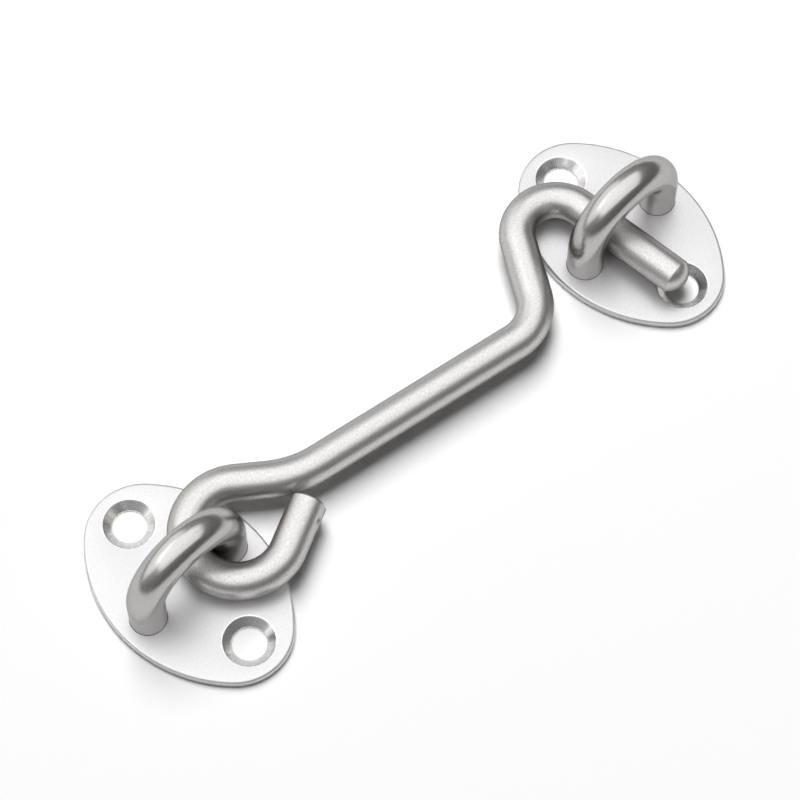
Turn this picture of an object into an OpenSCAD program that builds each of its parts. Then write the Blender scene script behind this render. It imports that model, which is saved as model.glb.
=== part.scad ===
// Hook and eye latch of stainless steel rod: a hook hangs by its loop from a staple on one oval plate,
// and its crook catches a second staple on a second plate. The backs of both plates lie on z = 0, the
// first plate is centred on the origin, and X runs from it towards the second plate.

/* [Rod] */
// Diameter of the rod that the hook is bent from
rod_d = 6; // [4.5:0.1:6.8]
// Diameter of the rod of both staples
staple_d = 6; // [4.5:0.1:6.4]
// Running gap between the hook and the staples and plates
run_gap = 0.15; // [0.1:0.05:0.5]

/* [Plates] */
// Length of each oval plate
plate_l = 39.9; // [38:0.1:50]
// Width of each oval plate
plate_w = 27.2; // [26:0.1:34]
// Radius of a plate's two round ends
end_r = 9.2; // [7:0.1:11]
// Thickness of each plate
plate_t = 1.5; // [1.4:0.1:3]
// Radius of the rounding along a plate's rim
rim_r = 0.5; // [0.3:0.05:0.65]
// Distance between the two screw holes of a plate
hole_pitch = 27.5; // [26:0.1:29]
// Diameter of a screw hole
hole_d = 5.5; // [4:0.1:6]
// Diameter of the mouth of a screw hole's countersink
sink_d = 8.4; // [7.5:0.1:9]
// Full angle of the countersink
sink_angle = 100; // [90:1:120]

/* [Staples] */
// Distance between the middles of a staple's legs
leg_pitch = 17; // [16:0.1:18]
// Height of a staple's top above the back of its plate
staple_h = 18.7; // [17.5:0.1:30]
// Diameter of the riveted end of a leg, in the back of the plate
rivet_d = 7.6; // [7:0.1:8.4]
// Depth of the countersink that the riveted end fills
rivet_depth = 0.8; // [0.6:0.05:1.1]
// Distance from the back of the plate to the riveted end
rivet_inset = 0.1; // [0.05:0.05:0.3]
// Gap round a leg in its hole in the plate
leg_fit = 0.05; // [0.02:0.01:0.1]

/* [Hook] */
// Angle of the closed hook's shank to the X axis
rest_angle = -10.2; // [-16:0.1:-4]
// Length of the straight shank
shank_l = 37.4; // [25:0.1:200]
// Radius of the loop's round end, to the middle of the rod
loop_r = 8.3; // [7.2:0.1:9]
// Length of the straight from the loop's round end to the neck
flank_l = 5.2; // [4:0.1:10]
// Angle of the neck, between the loop and the shank
neck_turn = 28; // [20:0.5:34]
// Radius of the neck
neck_r = 18; // [12:0.5:26]
// Angle of the loop's free end to the shank
tail_turn = 35; // [28:0.5:42]
// Gap between the loop's free end and the neck
tail_gap = 0.25; // [0.2:0.05:2]
// Width of the broken edge of the loop's free end
tail_edge = 0.4; // [0.1:0.1:1]
// Angle of the first bend of the crook, away from the shank
jog_turn = 69.5; // [60:0.5:76]
// Radius of the first bend
jog_r = 8; // [6:0.1:12]
// Length of the straight between the two bends of the crook
jog_l = 9.8; // [8:0.1:20]
// Angle of the second bend, which goes round the keeper's staple
crook_turn = 143.5; // [138:0.5:150]
// Radius of the second bend
crook_r = 6.35; // [6.2:0.05:8]
// Length of the straight tip with its taper
tip_l = 21.5; // [18:0.1:40]
// Length of the taper at the end of the tip
tip_taper = 1.6; // [0.5:0.1:3]
// Depth by which the taper narrows the rod all round at the end of the tip
tip_edge = 0.7; // [0.2:0.1:1.6]
// Distance along the tip from the second bend to the keeper's staple
keeper_depth = 6; // [5:0.1:9]

/* [Hidden] */
$fn = 72;

// Where two pieces run on into each other, one is a hair smaller and laps into the other.
swell = 0.02;
lap = 0.2;
hook_bar_r = (rod_d - swell) / 2;
staple_bar_r = (staple_d - swell) / 2;
// Depth by which a cut passes a face
past = 1;

// Outline of a plate: an arc at each end and on each side, each running on into the next
end_y = plate_l / 2 - end_r;
side_r = (plate_w * plate_w / 4 + end_y * end_y - end_r * end_r) / (plate_w - 2 * end_r);
side_x = side_r - plate_w / 2;
side_angle = atan2(end_y, side_x);
lap_angle = lap / side_r * 180 / PI;
// The flat front cuts the rounding at a clear angle, just below its crest.
rim_crest = 0.06;
rim_z = plate_t - (1 - rim_crest) * rim_r;
sink_slope = tan(sink_angle / 2);
sink_depth = (sink_d - hole_d) / 2 / sink_slope;

// Staple: straight legs up to a half round
arch_r = leg_pitch / 2;
spring_z = staple_h - staple_d / 2 - arch_r;

// Hook: its middle line is a list of straights [length] and bends [radius, turn], left turns positive,
// worked out with the middle of the loop's round end at the origin and the shank along X.
hook_z = plate_t + run_gap + rod_d / 2;
function along(angle) = [cos(angle), sin(angle)];
neck_mid = (loop_r + neck_r) * along(90 - neck_turn) + flank_l * along(-neck_turn);
tail_dir = along(tail_turn);
tail_inner = neck_mid + (loop_r - rod_d / 2) * along(tail_turn + 90);
neck_reach = neck_r + rod_d / 2 + tail_gap;
tail_far = tail_dir * neck_mid;
tail_l = tail_far - sqrt(tail_far * tail_far - tail_inner * tail_inner + neck_reach * neck_reach);
path = [
    [tail_l], [loop_r, -180 - tail_turn - neck_turn],
    [flank_l], [neck_r, neck_turn],
    [shank_l], [jog_r, jog_turn],
    [jog_l], [crook_r, -crook_turn],
    [tip_l]
];

// The loop bears on the leg that it turns about, the keeper-side leg of the first staple.
pivot = [arch_r, 0];
loop_mid = pivot + (loop_r - rod_d / 2 - staple_d / 2 - run_gap) * along(rest_angle);
tail_end = loop_mid + tail_l * along(rest_angle + tail_turn) + loop_r * along(rest_angle + tail_turn - 90);

// A station is the place and heading where a piece of the path starts.
function turned(at, radius, turn) =
    let (side = sign(turn) * 90)
    concat([at.x, at.y] + radius * along(at.z + side) - radius * along(at.z + turn + side), [at.z + turn]);
function onward(at, piece) =
    len(piece) == 1 ? concat([at.x, at.y] + piece[0] * along(at.z), [at.z]) : turned(at, piece[0], piece[1]);
function stations(at, i = 0) =
    i == len(path) ? [at] : concat([at], stations(onward(at, path[i]), i + 1));
start = concat(tail_end, [rest_angle + tail_turn + 180]);
stops = stations(start);

// The keeper's staple stands inside the crook, against the tip.
tip_at = stops[len(path) - 1];
keeper_leg = [tip_at.x, tip_at.y] + keeper_depth * along(tip_at.z)
    + (rod_d / 2 + staple_d / 2 + run_gap) * along(tip_at.z - 90);
keeper_at = keeper_leg + [arch_r, 0];

// Part of a round plate with a rounded rim, between two angles, a little too thick
module sector(radius, from, to) {
    rotate([0, 0, from]) rotate_extrude(angle = to - from) {
        square([radius, rim_z]);
        square([radius - rim_r, rim_z + rim_r]);
        translate([radius - rim_r, rim_z]) circle(r = rim_r);
    }
}

module plate_blank() {
    intersection() {
        for (turn = [0, 180]) rotate([0, 0, turn]) {
            translate([0, end_y, 0]) sector(end_r, side_angle, 180 - side_angle);
            translate([-side_x, 0, 0])
                sector(side_r - swell / 2, -side_angle - lap_angle, side_angle + lap_angle);
        }
        translate([-plate_w, -plate_l, 0]) cube([2 * plate_w, 2 * plate_l, plate_t]);
    }
}

module screw_hole() {
    translate([0, 0, -past]) cylinder(d = hole_d, h = plate_t + 2 * past);
    translate([0, 0, plate_t - sink_depth])
        cylinder(d1 = hole_d, d2 = sink_d + 2 * past * sink_slope, h = sink_depth + past);
}

// The leg passes through and is hammered over into a countersink in the back.
module leg_hole() {
    bore_d = staple_d + 2 * leg_fit;
    flare = (rivet_d - staple_d) / rivet_depth;
    translate([0, 0, -past]) cylinder(d = bore_d, h = plate_t + 2 * past);
    translate([0, 0, -past])
        cylinder(d1 = rivet_d + 2 * leg_fit + past * flare, d2 = bore_d, h = rivet_depth + past);
}

module plate() {
    difference() {
        plate_blank();
        for (side = [-1, 1]) {
            translate([0, side * hole_pitch / 2, 0]) screw_hole();
            translate([side * leg_pitch / 2, 0, 0]) leg_hole();
        }
    }
}

module staple_leg() {
    head_r = staple_bar_r + (rivet_d - staple_d) / 2 * (1 - rivet_inset / rivet_depth);
    rotate_extrude()
        polygon([[0, rivet_inset], [head_r, rivet_inset], [staple_bar_r, rivet_depth],
                 [staple_bar_r, spring_z + lap], [0, spring_z + lap]]);
}

module staple() {
    for (side = [-1, 1]) translate([side * arch_r, 0, 0]) staple_leg();
    translate([0, 0, spring_z]) rotate([90, 0, 0])
        rotate_extrude(angle = 180) translate([arch_r, 0]) circle(d = staple_d);
}

// A straight along X, turned from its half outline: radius against length
module bar(outline) {
    rotate([0, 90, 0]) rotate_extrude() polygon(outline);
}

module tail_bar() {
    bar([[0, 0], [hook_bar_r - tail_edge, 0], [hook_bar_r, tail_edge],
         [hook_bar_r, tail_l + lap], [0, tail_l + lap]]);
}

module middle_bar(length) {
    bar([[0, -lap], [hook_bar_r, -lap], [hook_bar_r, length + lap], [0, length + lap]]);
}

module tip_bar() {
    bar([[0, -lap], [hook_bar_r, -lap], [hook_bar_r, tip_l - tip_taper],
         [hook_bar_r - tip_edge, tip_l], [0, tip_l]]);
}

module bend(radius, turn) {
    side = sign(turn);
    translate([0, side * radius, 0]) rotate([0, 0, -side * 90])
        rotate_extrude(angle = turn) translate([radius, 0]) circle(d = rod_d);
}

module hook_piece(i) {
    if (len(path[i]) == 2) bend(path[i][0], path[i][1]);
    else if (i == 0) tail_bar();
    else if (i == len(path) - 1) tip_bar();
    else middle_bar(path[i][0]);
}

module eye_plate() {
    color("whitesmoke") plate();
}

module eye_staple() {
    color("darkgray") staple();
}

module hook() {
    color("silver")
        for (i = [0 : len(path) - 1])
            translate([stops[i].x, stops[i].y, hook_z]) rotate([0, 0, stops[i].z]) hook_piece(i);
}

module keeper_plate() {
    color("whitesmoke") translate([keeper_at.x, keeper_at.y, 0]) plate();
}

module keeper_staple() {
    color("darkgray") translate([keeper_at.x, keeper_at.y, 0]) staple();
}

eye_plate();
eye_staple();
hook();
keeper_plate();
keeper_staple();
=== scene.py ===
"""Hook and eye latch of stainless steel rod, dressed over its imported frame.

Each piece is a surface worked out with numpy: a ring carried along the bent rod of the hook and of the
staples, and the edge of a plate carried round its oval. Lengths are in metres, so a size in millimetres is
written as a number times MM.
"""

import bmesh
import bpy
import numpy as np
from mathutils import Matrix, Vector


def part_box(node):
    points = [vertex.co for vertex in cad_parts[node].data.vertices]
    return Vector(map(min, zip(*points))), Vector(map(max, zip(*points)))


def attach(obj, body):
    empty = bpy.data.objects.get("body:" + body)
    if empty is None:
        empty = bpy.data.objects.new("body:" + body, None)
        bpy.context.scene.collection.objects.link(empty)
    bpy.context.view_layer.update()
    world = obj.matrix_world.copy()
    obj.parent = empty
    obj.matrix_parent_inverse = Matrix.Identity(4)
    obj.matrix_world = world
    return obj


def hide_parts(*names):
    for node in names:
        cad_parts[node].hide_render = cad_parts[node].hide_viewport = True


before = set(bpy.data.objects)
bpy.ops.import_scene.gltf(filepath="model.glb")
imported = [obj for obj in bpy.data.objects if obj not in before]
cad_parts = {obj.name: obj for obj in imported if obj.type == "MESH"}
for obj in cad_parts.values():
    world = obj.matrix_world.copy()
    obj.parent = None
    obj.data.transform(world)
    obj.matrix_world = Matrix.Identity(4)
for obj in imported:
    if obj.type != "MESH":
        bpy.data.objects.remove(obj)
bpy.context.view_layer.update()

MM = 0.001

# Sizes that the frame gives
eye_low, eye_high = (np.array(corner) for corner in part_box("eye_plate"))
keeper_low, keeper_high = (np.array(corner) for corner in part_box("keeper_plate"))
hook_low, hook_high = (np.array(corner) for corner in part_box("hook"))
STAPLE_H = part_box("eye_staple")[1][2]
PLATE_W, PLATE_L, PLATE_T = eye_high - eye_low
EYE_AT = (eye_low + eye_high)[:2] / 2
KEEPER_AT = (keeper_low + keeper_high)[:2] / 2
ROD_R = (hook_high[2] - hook_low[2]) / 2
HOOK_Z = (hook_high[2] + hook_low[2]) / 2

# Plates
END_R = 9.2 * MM
RIM_R = 0.5 * MM
HOLE_PITCH = 27.5 * MM
HOLE_R = 2.75 * MM
SINK_R = 4.2 * MM
SINK_DEPTH = 1.22 * MM
LEG_FIT = 0.05 * MM
# Width of the eased edges of a plate and its holes
EDGE_R = 0.12 * MM
# Soft edge between a countersink and its bore, in shares of EDGE_R: out from the bore, and down from the cone
SOFT_OUT = np.array([0.7, 0.25, 0])
SOFT_DOWN = np.array([-0.5, 0.1, 0.9])

# Staples
STAPLE_R = 3 * MM
ARCH_R = 8.5 * MM
RIVET_R = 3.7 * MM
RIVET_DEPTH = 0.8 * MM
RIVET_INSET = 0.1 * MM

# Hook: straights and bends from the loop's free end to the tip, left turns positive
REST_ANGLE = np.radians(-10.2)
RUN_GAP = 0.15 * MM
TAIL_L = 8.688 * MM
TAIL_TURN = np.radians(35)
TAIL_EDGE = 0.4 * MM
LOOP_R = 8.3 * MM
FLANK_L = 5.2 * MM
NECK_R = 18 * MM
NECK_TURN = np.radians(28)
SHANK_L = 37.4 * MM
JOG_R = 8 * MM
JOG_TURN = np.radians(69.5)
JOG_L = 9.8 * MM
CROOK_R = 6.35 * MM
CROOK_TURN = np.radians(143.5)
TIP_L = 21.5 * MM
# Domed end of the tip: its height, the angle of the ellipse that it starts from, and its last ring
TIP_DOME = 1.75 * MM
TIP_START = np.radians(26)
TIP_POLE_R = 0.02 * MM
# Nick in the side of the loop's free end
NICK_AT = 3.0 * MM
NICK_L = 0.75 * MM
NICK_W = 0.3 * MM
NICK_DEPTH = 0.3 * MM
NICK_TURN = np.radians(161)

# Fineness of the meshes: points round a rod or hole, the step along the hook, and points along other lines
SIDES = 96
AROUND = np.arange(SIDES) * 2 * np.pi / SIDES
STEP = 0.25 * MM
DOME_POINTS = 25
ARCH_POINTS, LEG_POINTS, RIVET_POINTS = 120, 40, 4
SIDE_POINTS, END_POINTS, RIM_POINTS, SINK_POINTS = 57, 41, 10, 8
# Two faces that meet at more than this angle have a sharp edge between them
ROD_CREASE = np.radians(15)
PLATE_CREASE = np.radians(28)


def unit(angle):
    """Unit vector at an angle in the plane."""
    return np.stack([np.cos(angle), np.sin(angle)], axis=-1)


# Meshes


def placed(name, data):
    """An object for a mesh, lamp or camera, linked into the scene."""
    made = bpy.data.objects.new(name, data)
    bpy.context.scene.collection.objects.link(made)
    return made


def piece(name, mesh, material, body, node):
    """An object for a mesh, which rides on a body in place of its CAD node."""
    made = placed(name, mesh)
    mesh.materials.append(material)
    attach(made, body)
    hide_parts(node)
    return made


def shaded(mesh, crease):
    """Smooth shading with sharp edges where two faces meet at more than the crease angle."""
    mesh.polygons.foreach_set("use_smooth", np.ones(len(mesh.polygons), bool))
    mesh.set_sharp_from_angle(angle=crease)
    mesh.update()


def grid_faces(rows, columns):
    """Quads of a grid that is open along its rows and closed round its columns."""
    row, column = np.meshgrid(np.arange(rows - 1), np.arange(columns), indexing="ij")
    after = (column + 1) % columns
    return np.stack([row * columns + column, row * columns + after,
                     (row + 1) * columns + after, (row + 1) * columns + column], axis=-1).reshape(-1, 4)


def rod_mesh(name, line, across, lift, radii, travel):
    """Rod whose ring i is line_i + radius_ij (cos t_j across_i + sin t_j lift), with a pole closing each end.

    The UV map holds the travel along the rod and the way round it, in metres.
    """
    ring = np.cos(AROUND)[None, :, None] * across[:, None, :] + np.sin(AROUND)[None, :, None] * lift
    points = line[:, None, :] + radii[:, :, None] * ring
    rows = len(line)
    body = grid_faces(rows, SIDES)[:, ::-1]
    start, end = rows * SIDES, rows * SIDES + 1
    column = np.arange(SIDES)
    after = (column + 1) % SIDES
    last = (rows - 1) * SIDES
    caps = np.concatenate([np.stack([np.full(SIDES, start), column, after], axis=-1),
                           np.stack([np.full(SIDES, end), last + after, last + column], axis=-1)])
    vertices = np.concatenate([points.reshape(-1, 3), line[:1], line[-1:]])
    mesh = bpy.data.meshes.new(name)
    mesh.from_pydata(vertices.tolist(), [], body.tolist() + caps.tolist())

    # Where the grid closes, the way round goes on to the full girth and doesn't jump back to nothing.
    body_row, body_column = body // SIDES, body % SIDES
    body_column = np.where((body_column == 0) & (body_column[:, :1] == SIDES - 1), SIDES, body_column)
    body_uv = np.stack([travel[body_row], body_column * ROD_R * 2 * np.pi / SIDES], axis=-1).reshape(-1, 2)
    cap_at = np.repeat(travel[[0, -1]], caps.size // 2)
    cap_uv = np.stack([cap_at, np.zeros(caps.size)], axis=-1)
    layer = mesh.uv_layers.new(name="rod")
    layer.data.foreach_set("uv", np.concatenate([body_uv, cap_uv]).ravel())
    shaded(mesh, ROD_CREASE)
    return mesh


# Hook


def bent_line(pieces, start, heading):
    """Points and headings along straights (length,) and bends (radius, turn), a step apart.

    A straight is at + travel times the heading. A bend is at + radius times the difference of two unit vectors,
    from its middle to its start and from its middle to the point.
    """
    points, headings = [], []
    at = np.array(start)
    for part in pieces:
        if len(part) == 1:
            travel = np.linspace(0, part[0], int(np.ceil(part[0] / STEP)) + 1)
            run = at + travel[:, None] * unit(heading)
            turned = np.full(len(travel), heading)
        else:
            radius, turn = part
            swept = np.linspace(0, turn, int(np.ceil(radius * abs(turn) / STEP)) + 1)
            side = np.sign(turn) * np.pi / 2
            run = at + radius * unit(heading + side) - radius * unit(heading + swept + side)
            turned = heading + swept
        points.append(run[:-1])
        headings.append(turned[:-1])
        at, heading = run[-1], turned[-1]
    points.append(at[None])
    headings.append(np.array([heading]))
    return np.concatenate(points), np.concatenate(headings)


def hook_mesh():
    """A round ring carried along the hook's bent line, with a broken edge at the tail and a domed tip.

    The dome is the end of an ellipse: from its start to a right angle, its radius goes as the cosine of the
    angle and its rise as the sine. A nick from the bending tool is a dent of the rod, its depth times
    exp(-(along / length)^2 - (round / width)^2).
    """
    pivot = EYE_AT + np.array([ARCH_R, 0])
    loop_mid = pivot + (LOOP_R - ROD_R - STAPLE_R - RUN_GAP) * unit(REST_ANGLE)
    tail_way = REST_ANGLE + TAIL_TURN
    tail_end = loop_mid + TAIL_L * unit(tail_way) + LOOP_R * unit(tail_way - np.pi / 2)
    pieces = [(TAIL_L,), (LOOP_R, -np.pi - TAIL_TURN - NECK_TURN), (FLANK_L,), (NECK_R, NECK_TURN),
              (SHANK_L,), (JOG_R, JOG_TURN), (JOG_L,), (CROOK_R, -CROOK_TURN), (TIP_L,)]
    flat, heading = bent_line(pieces, tail_end, tail_way + np.pi)
    travel = np.concatenate([[0], np.cumsum(np.linalg.norm(np.diff(flat, axis=0), axis=1))])
    total = travel[-1]

    dome = np.linspace(TIP_START, np.pi / 2, DOME_POINTS)[:-1]
    rise = TIP_DOME * (np.sin(dome) - np.sin(TIP_START)) / (1 - np.sin(TIP_START))
    inner = (travel > TAIL_EDGE) & (travel < total - TIP_DOME)
    stations = np.concatenate([[0, TAIL_EDGE], travel[inner], total - TIP_DOME + rise, [total]])
    radii = np.concatenate([[ROD_R - TAIL_EDGE, ROD_R], np.full(inner.sum(), ROD_R),
                            ROD_R * np.cos(dome) / np.cos(TIP_START), [TIP_POLE_R]])
    along = (stations - NICK_AT)[:, None] / NICK_L
    round_it = (AROUND - NICK_TURN)[None, :] * ROD_R / NICK_W
    nick = NICK_DEPTH * np.exp(-along ** 2 - round_it ** 2)

    line = np.stack([np.interp(stations, travel, flat[:, 0]), np.interp(stations, travel, flat[:, 1]),
                     np.full(len(stations), HOOK_Z)], axis=-1)
    way = np.interp(stations, travel, heading)
    across = np.stack([np.sin(way), -np.cos(way), np.zeros(len(way))], axis=-1)
    return rod_mesh("hook_rod", line, across, np.array([0, 0, 1.0]), radii[:, None] - nick, stations)


# Staples


def staple_mesh(name, at):
    """A ring carried up one leg, round a half circle and down the other, with a flared rivet at each foot."""
    spring = STAPLE_H - STAPLE_R - ARCH_R
    leg = np.linspace(RIVET_DEPTH, spring, LEG_POINTS)
    swept = np.linspace(np.pi, 0, ARCH_POINTS)
    foot = np.linspace(RIVET_INSET, RIVET_DEPTH, RIVET_POINTS)[:-1]
    rise = np.concatenate([foot, leg[:-1]])
    side = np.concatenate([np.full(len(rise), -ARCH_R), ARCH_R * np.cos(swept), np.full(len(rise), ARCH_R)])
    height = np.concatenate([rise, spring + ARCH_R * np.sin(swept), rise[::-1]])
    flare = np.interp(rise, [RIVET_INSET, RIVET_DEPTH], [RIVET_R, STAPLE_R])
    radii = np.concatenate([flare, np.full(len(swept), STAPLE_R), flare[::-1]])
    turn = np.concatenate([np.full(len(rise), np.pi), swept, np.zeros(len(rise))])
    line = np.stack([at[0] + side, np.full(len(side), at[1]), height], axis=-1)
    across = np.stack([np.cos(turn), np.zeros(len(turn)), np.sin(turn)], axis=-1)
    travel = np.concatenate([[0], np.cumsum(np.linalg.norm(np.diff(line, axis=0), axis=1))])
    return rod_mesh(name, line, across, np.array([0, 1.0, 0]), np.repeat(radii[:, None], SIDES, 1), travel)


# Plates


def oval(inset):
    """The plate's outline drawn in by an inset: arcs of the ends and sides, each running on into the next."""
    end_y = PLATE_L / 2 - END_R
    half_w = PLATE_W / 2
    side_r = (half_w ** 2 + end_y ** 2 - END_R ** 2) / (PLATE_W - 2 * END_R)
    side_x = side_r - half_w
    meet = np.arctan2(end_y, side_x)
    side = np.linspace(-meet, meet, SIDE_POINTS)[:-1]
    end = np.linspace(meet, np.pi - meet, END_POINTS)[:-1]
    right = np.array([-side_x, 0]) + (side_r - inset) * unit(side)
    top = np.array([0, end_y]) + (END_R - inset) * unit(end)
    return np.concatenate([right, top, -right, -top])


def ring_stack(rings, heights):
    """Vertices of a stack of closed outlines, each at its own height."""
    tall = np.repeat(np.asarray(heights), len(rings[0]))
    return np.column_stack([np.concatenate(rings), tall])


def rim_rings():
    """The plate's edge: out along the back, up the wall and by a quarter circle onto the front."""
    angle = np.linspace(0, np.pi / 2, RIM_POINTS)
    insets = np.concatenate([[EDGE_R, 0], RIM_R * (1 - np.cos(angle))])
    heights = np.concatenate([[0, EDGE_R], PLATE_T - RIM_R + RIM_R * np.sin(angle)])
    return ring_stack([oval(inset) for inset in insets], heights), len(oval(0))


def hole_rings(at, radii, heights):
    """The wall of a round hole, from the front down to the back."""
    return ring_stack([np.array(at) + radius * unit(AROUND) for radius in radii], heights), SIDES


def screw_hole(at):
    """A countersunk hole: eased mouth, cone, soft inner edge, bore and eased back edge."""
    slope = (SINK_R - HOLE_R) / SINK_DEPTH
    depth = np.linspace(EDGE_R / 2, SINK_DEPTH - EDGE_R, SINK_POINTS)
    radii = np.concatenate([[SINK_R + EDGE_R, SINK_R], SINK_R - slope * depth,
                            HOLE_R + EDGE_R * SOFT_OUT, [HOLE_R, HOLE_R + EDGE_R]])
    drop = np.concatenate([[0, EDGE_R / 6], depth,
                           SINK_DEPTH + EDGE_R * SOFT_DOWN, [PLATE_T - EDGE_R, PLATE_T]])
    return hole_rings(at, radii, PLATE_T - drop)


def leg_hole(at):
    """A hole for a staple's leg, flared at the back for its rivet."""
    radii = np.array([STAPLE_R, STAPLE_R, RIVET_R]) + LEG_FIT
    return hole_rings(at, radii, [PLATE_T, RIVET_DEPTH, 0])


def plate_mesh(name, at):
    """The edge, the walls of the four holes, and two flat faces filled between their first and last rings.

    The UV map of a hole's wall holds the way round it at the bore and the height on it, in metres. The walls
    of the screw holes take the second material.
    """
    stacks = [rim_rings()]
    stacks += [screw_hole((0, side * HOLE_PITCH / 2)) for side in (1, -1)]
    stacks += [leg_hole((side * ARCH_R, 0)) for side in (1, -1)]
    points, faces, uvs, kinds = [], [], [], []
    for index, (rings, around) in enumerate(stacks):
        quads = grid_faces(len(rings) // around, around)
        steps = quads[:, :1] % around + np.array([0, 1, 1, 0])
        uvs.append(np.stack([steps * HOLE_R * 2 * np.pi / around, rings[quads, 2]], axis=-1))
        faces.append(quads + sum(map(len, points)))
        kinds.append(np.full(len(quads), int(index in (1, 2))))
        points.append(rings + np.array([*at, 0]))
    mesh = bpy.data.meshes.new(name)
    mesh.from_pydata(np.concatenate(points).tolist(), [], np.concatenate(faces).tolist())
    mesh.uv_layers.new(name="turned").data.foreach_set("uv", np.concatenate(uvs).ravel())
    mesh.polygons.foreach_set("material_index", np.concatenate(kinds))

    shell = bmesh.new()
    shell.from_mesh(mesh)
    open_edges = [edge for edge in shell.edges if edge.is_boundary]
    for front in (True, False):
        rim = [edge for edge in open_edges if (edge.verts[0].co.z > PLATE_T / 2) == front]
        bmesh.ops.triangle_fill(shell, use_beauty=True, edges=rim)
    bmesh.ops.recalc_face_normals(shell, faces=shell.faces)
    shell.to_mesh(mesh)
    shell.free()
    shaded(mesh, PLATE_CREASE)
    return mesh


# Materials


def linear(code):
    """Linear colour of an sRGB hex code."""
    srgb = np.array([int(code[i:i + 2], 16) for i in (1, 3, 5)]) / 255
    low = srgb / 12.92
    high = ((srgb + 0.055) / 1.055) ** 2.4
    return (*np.where(srgb <= 0.04045, low, high), 1.0)


def add(tree, kind, settings=None, **inputs):
    """A node of a kind with its settings, its sockets set to values or linked to other nodes' sockets.

    A socket goes by its name, or by its number after an underscore.
    """
    node = tree.nodes.new(kind)
    for name, value in (settings or {}).items():
        setattr(node, name, value)
    for name, value in inputs.items():
        socket = node.inputs[int(name[1:])] if name[0] == "_" else node.inputs[name.replace("_", " ")]
        if isinstance(value, bpy.types.NodeSocket):
            tree.links.new(value, socket)
        else:
            socket.default_value = value
    return node


# Range of the noise that most of the grain falls in, and the share by which the roughness goes up and down
GRAIN_LOW, GRAIN_HIGH = 0.3, 0.7
ROUGHNESS_SWING = 0.15


def steel(name, tones, roughness, edge, grain, depth, layer=None):
    """Stainless steel whose fine grain shows as a speckle in its tone and in its soft reflections.

    The tones are the darkest and the lightest, and the roughness goes with them. The edge is the share of its
    reflection that is left at a low angle. The grain's sizes and its depth are in metres, along the axes of
    the object or of a UV map.
    """
    material = bpy.data.materials.new(name)
    material.use_nodes = True
    tree = material.node_tree
    shader = tree.nodes["Principled BSDF"]
    shader.inputs["Metallic"].default_value = 1
    shader.inputs["Specular Tint"].default_value = (edge, edge, edge, 1)
    if layer:
        place = add(tree, "ShaderNodeUVMap", {"uv_map": layer}).outputs["UV"]
    else:
        place = add(tree, "ShaderNodeTexCoord").outputs["Object"]
    spaced = add(tree, "ShaderNodeMapping", Vector=place, Scale=[1 / size for size in grain])
    noise = add(tree, "ShaderNodeTexNoise", Vector=spaced.outputs["Vector"], Scale=1.0, Detail=3.0)
    speckle = noise.outputs["Fac"]
    grade = add(tree, "ShaderNodeMapRange", Value=speckle, From_Min=GRAIN_LOW, From_Max=GRAIN_HIGH)
    tone = add(tree, "ShaderNodeMix", {"data_type": "RGBA"}, _0=grade.outputs["Result"],
               _6=linear(tones[0]), _7=linear(tones[1]))
    spread = add(tree, "ShaderNodeMapRange", Value=speckle, From_Min=GRAIN_LOW, From_Max=GRAIN_HIGH,
                 To_Min=roughness * (1 + ROUGHNESS_SWING), To_Max=roughness * (1 - ROUGHNESS_SWING))
    bump = add(tree, "ShaderNodeBump", Height=speckle, Distance=depth, Strength=1.0)
    tree.links.new(tone.outputs[2], shader.inputs["Base Color"])
    tree.links.new(spread.outputs["Result"], shader.inputs["Roughness"])
    tree.links.new(bump.outputs["Normal"], shader.inputs["Normal"])
    return material


# The grain of all four is finer on the real steel, and is drawn as coarse as it needs to show.
# Satin steel sheet: tumbled after pressing, so it gives soft bright reflections.
plate_steel = steel("satin_steel_sheet", tones=("#CDCCCD", "#D4D3D4"), roughness=0.41, edge=1.0,
                    grain=np.array([0.3, 0.3, 0.3]) * MM, depth=0.00005 * MM)
# Cut steel of the countersinks: the cutter's chatter leaves short marks down the cone.
cut_steel = steel("cut_steel", tones=("#D2D1D0", "#EAE9E8"), roughness=0.26, edge=0.8,
                  grain=np.array([0.42, 3.0, 1.0]) * MM, depth=0.012 * MM, layer="turned")
# Polished steel rod: the staples are buffed, so they mirror the light, the plate and the hook.
staple_steel = steel("polished_steel_rod", tones=("#B7B5B3", "#BDBBB9"), roughness=0.23, edge=0.6,
                     grain=np.array([1.5, 0.4, 1.0]) * MM, depth=0.0003 * MM, layer="rod")
# Satin steel rod: the hook is tumbled after bending, which leaves a fine speckle across it.
hook_steel = steel("satin_steel_rod", tones=("#BCBAB8", "#D6D4D2"), roughness=0.37, edge=0.2,
                   grain=np.array([0.18, 0.5, 1.0]) * MM, depth=0.005 * MM, layer="rod")

# Pieces
piece("hook_rod", hook_mesh(), hook_steel, "hook", "hook")
for side, at in (("eye", EYE_AT), ("keeper", KEEPER_AT)):
    piece(side + "_arch", staple_mesh(side + "_arch", at), staple_steel, side, side + "_staple")
    base = piece(side + "_base", plate_mesh(side + "_base", at), plate_steel, side, side + "_plate")
    base.data.materials.append(cut_steel)

# Stage and camera

FLOOR_HALF = 2.0
# The camera's place comes from fitting the plates' outlines and holes, and it looks at the object's middle.
CAMERA_AT = np.array([-107.7, -157.0, 467.6]) * MM
OBJECT_MID = np.array([45.9, -0.2, 0.0]) * MM
LENS_MM = 144.9
SENSOR_MM = 36


def white_board():
    """Matt white board."""
    material = bpy.data.materials.new("white_board")
    material.use_nodes = True
    shader = material.node_tree.nodes["Principled BSDF"]
    shader.inputs["Base Color"].default_value = linear("#FBFBFB")
    shader.inputs["Roughness"].default_value = 1
    shader.inputs["Specular IOR Level"].default_value = 0
    return material


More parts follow.
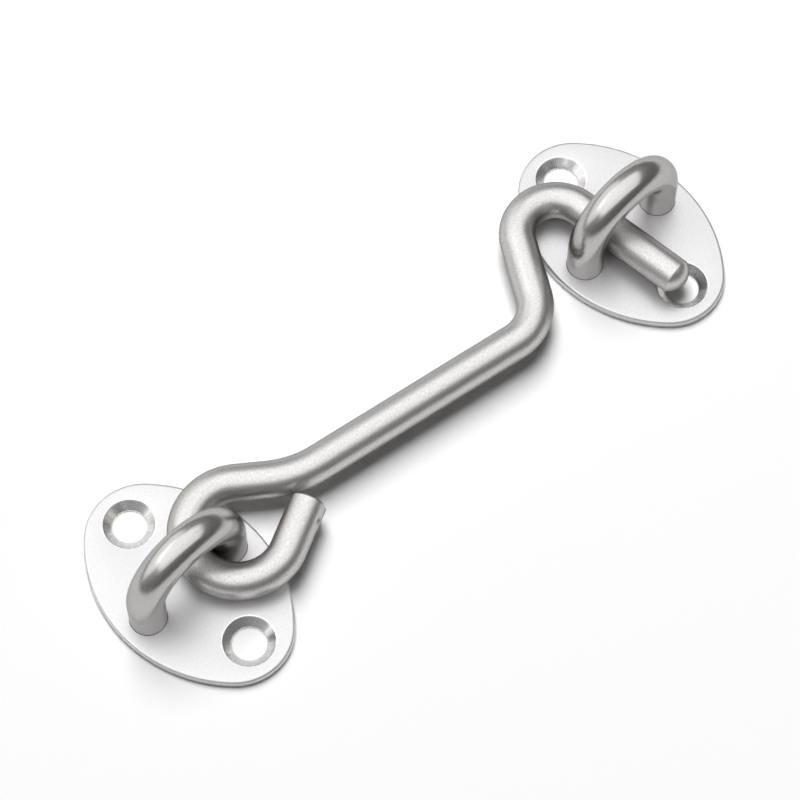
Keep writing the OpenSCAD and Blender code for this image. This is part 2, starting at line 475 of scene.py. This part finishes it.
floor_mesh = bpy.data.meshes.new("floor")
floor_mesh.from_pydata([(-FLOOR_HALF, -FLOOR_HALF, 0), (FLOOR_HALF, -FLOOR_HALF, 0),
                        (FLOOR_HALF, FLOOR_HALF, 0), (-FLOOR_HALF, FLOOR_HALF, 0)], [], [(0, 1, 2, 3)])
floor_mesh.materials.append(white_board())
placed("floor", floor_mesh)

lens = bpy.data.cameras.new("camera")
lens.lens = LENS_MM
lens.sensor_width = SENSOR_MM
lens.clip_start = 10 * MM
camera = placed("camera", lens)
camera.location = CAMERA_AT
camera.rotation_euler = Vector(OBJECT_MID - CAMERA_AT).to_track_quat("-Z", "Y").to_euler()
bpy.context.scene.camera = camera

# Light


def lamp(name, turn, tilt, reach, size, radiance, along, board=False):
    """A rectangular lamp aimed at the object, of an even radiance.

    It stands at a turn round the object, a tilt from overhead and a reach. Its length runs along a turn, and
    its power is its radiance times its area times pi. A lamp for the board lights matt surfaces, and the other
    lamps are what the steel mirrors.
    """
    light = bpy.data.lights.new(name, "AREA")
    light.shape = "RECTANGLE"
    light.size, light.size_y = size
    light.energy = radiance * size[0] * size[1] * np.pi
    made = placed(name, light)
    made.visible_diffuse, made.visible_glossy = board, not board
    back = Vector((*(np.sin(tilt) * unit(turn)), np.cos(tilt)))
    across = back.cross(Vector((*unit(along), 0))).normalized()
    made.location = Vector(OBJECT_MID) + reach * back
    made.rotation_euler = Matrix((across.cross(back), across, back)).transposed().to_euler()


def tent(turn, rise, steps):
    """World like a light tent: its brightness follows the cosine of the angle from its brightest side.

    The steps are pairs of a cosine and a brightness. The steel mirrors the tent, and the board has a lamp of
    its own.
    """
    world = bpy.data.worlds.new("light_tent")
    world.use_nodes = True
    tree = world.node_tree
    bright = (*(np.cos(rise) * unit(turn)), np.sin(rise))
    way = add(tree, "ShaderNodeTexCoord").outputs["Generated"]
    facing = add(tree, "ShaderNodeVectorMath", {"operation": "DOT_PRODUCT"}, _0=way, _1=bright)
    spread = add(tree, "ShaderNodeMapRange", Value=facing.outputs["Value"], From_Min=-1.0, From_Max=1.0)
    ramp = add(tree, "ShaderNodeValToRGB", Fac=spread.outputs["Result"])
    ramp.color_ramp.interpolation = "B_SPLINE"
    stops = ramp.color_ramp.elements
    while len(stops) < len(steps):
        stops.new(0.5)
    for stop, (cosine, level) in zip(stops, steps):
        stop.position = (cosine + 1) / 2
        stop.color = (level, level, level, 1)
    tree.links.new(ramp.outputs["Color"], tree.nodes["Background"].inputs["Color"])
    world.cycles_visibility.diffuse = False
    bpy.context.scene.world = world


lamp("overhead", turn=np.radians(37), tilt=np.radians(1.5), reach=0.6, size=(1.22, 0.98), radiance=1.15,
     along=REST_ANGLE)
lamp("left_wall", turn=np.radians(116), tilt=np.radians(56), reach=0.7, size=(1.15, 0.54), radiance=0.8,
     along=np.radians(26))
lamp("board_lamp", turn=np.radians(58), tilt=np.radians(22.5), reach=2.2, size=(1.8, 1.0), radiance=10.8,
     along=np.radians(58), board=True)
# Bright from the left of the picture to overhead, dark behind the camera
tent(turn=np.radians(110), rise=np.radians(55),
     steps=((-0.3, 0.15), (0.3, 0.24), (0.6, 0.42), (0.8, 0.55), (0.95, 0.6)))

bpy.context.scene.view_settings.view_transform = "Standard"
